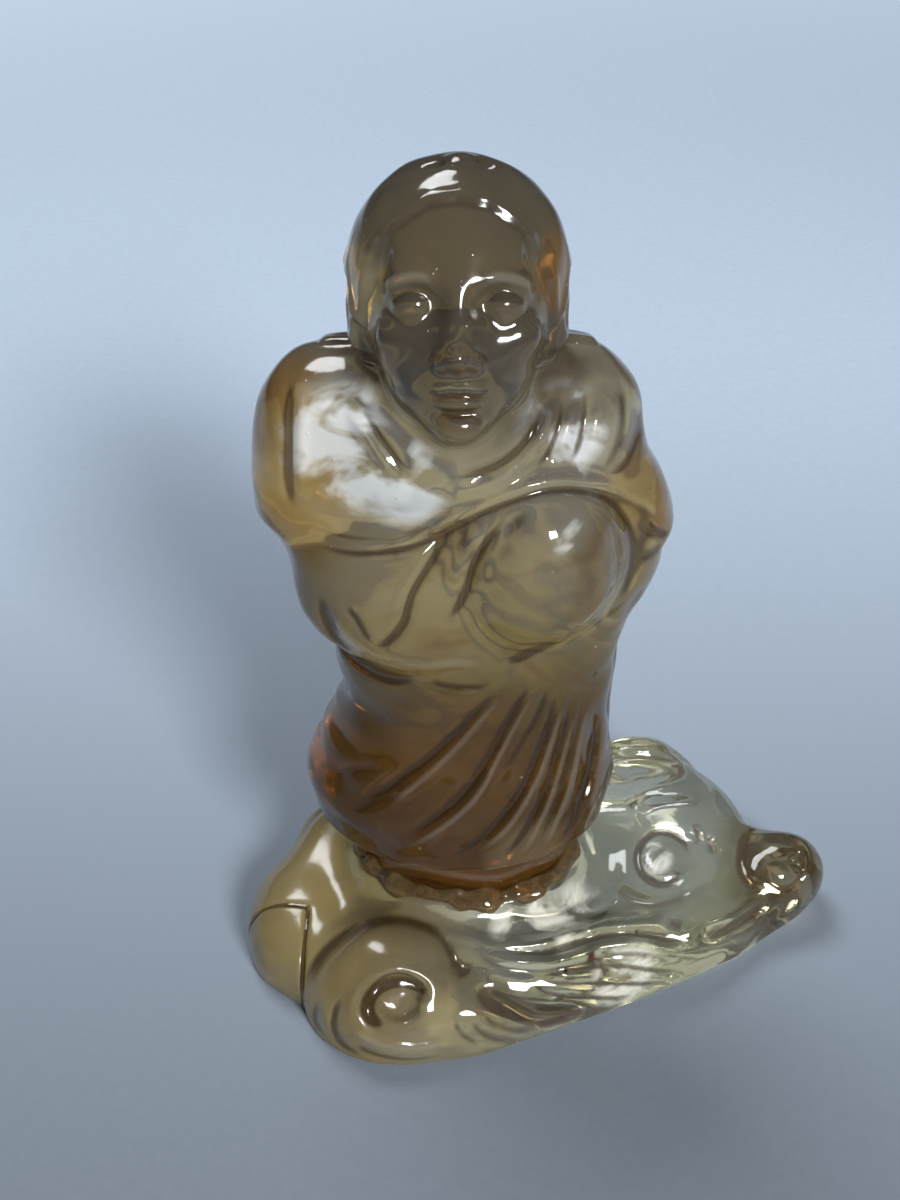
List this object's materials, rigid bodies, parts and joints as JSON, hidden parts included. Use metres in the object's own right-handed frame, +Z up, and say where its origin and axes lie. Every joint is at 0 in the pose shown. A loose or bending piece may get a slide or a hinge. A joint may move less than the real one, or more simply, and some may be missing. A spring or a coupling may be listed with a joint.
{
  "type": "carved quartz okimono",
  "caption": "Polished smoky quartz carving of a robed standing monk with folded arms, on a paler glued base of curling waves.",
  "frame": {"origin": "on the flat underside of the base, in the middle of its length and depth", "axes": "+Z up through the figure, -Y towards the figure's front, +X to the viewer's right along the base"},
  "size_m": [0.0876, 0.057, 0.119],
  "materials": {
    "smoky_quartz": "polished transparent smoky citrine, warm brown and hazier towards the hem",
    "pale_quartz": "polished transparent pale straw quartz, milky on the left and clear on the right",
    "adhesive": "aged clear adhesive, rough and shiny, with grime in it"
  },
  "bodies": {
    "root": {"figure": "smoky_quartz", "wave_base": "pale_quartz", "corner_fragment": "pale_quartz", "foot_glue": "adhesive", "fragment_glue": "adhesive"}
  },
  "joints": []
}
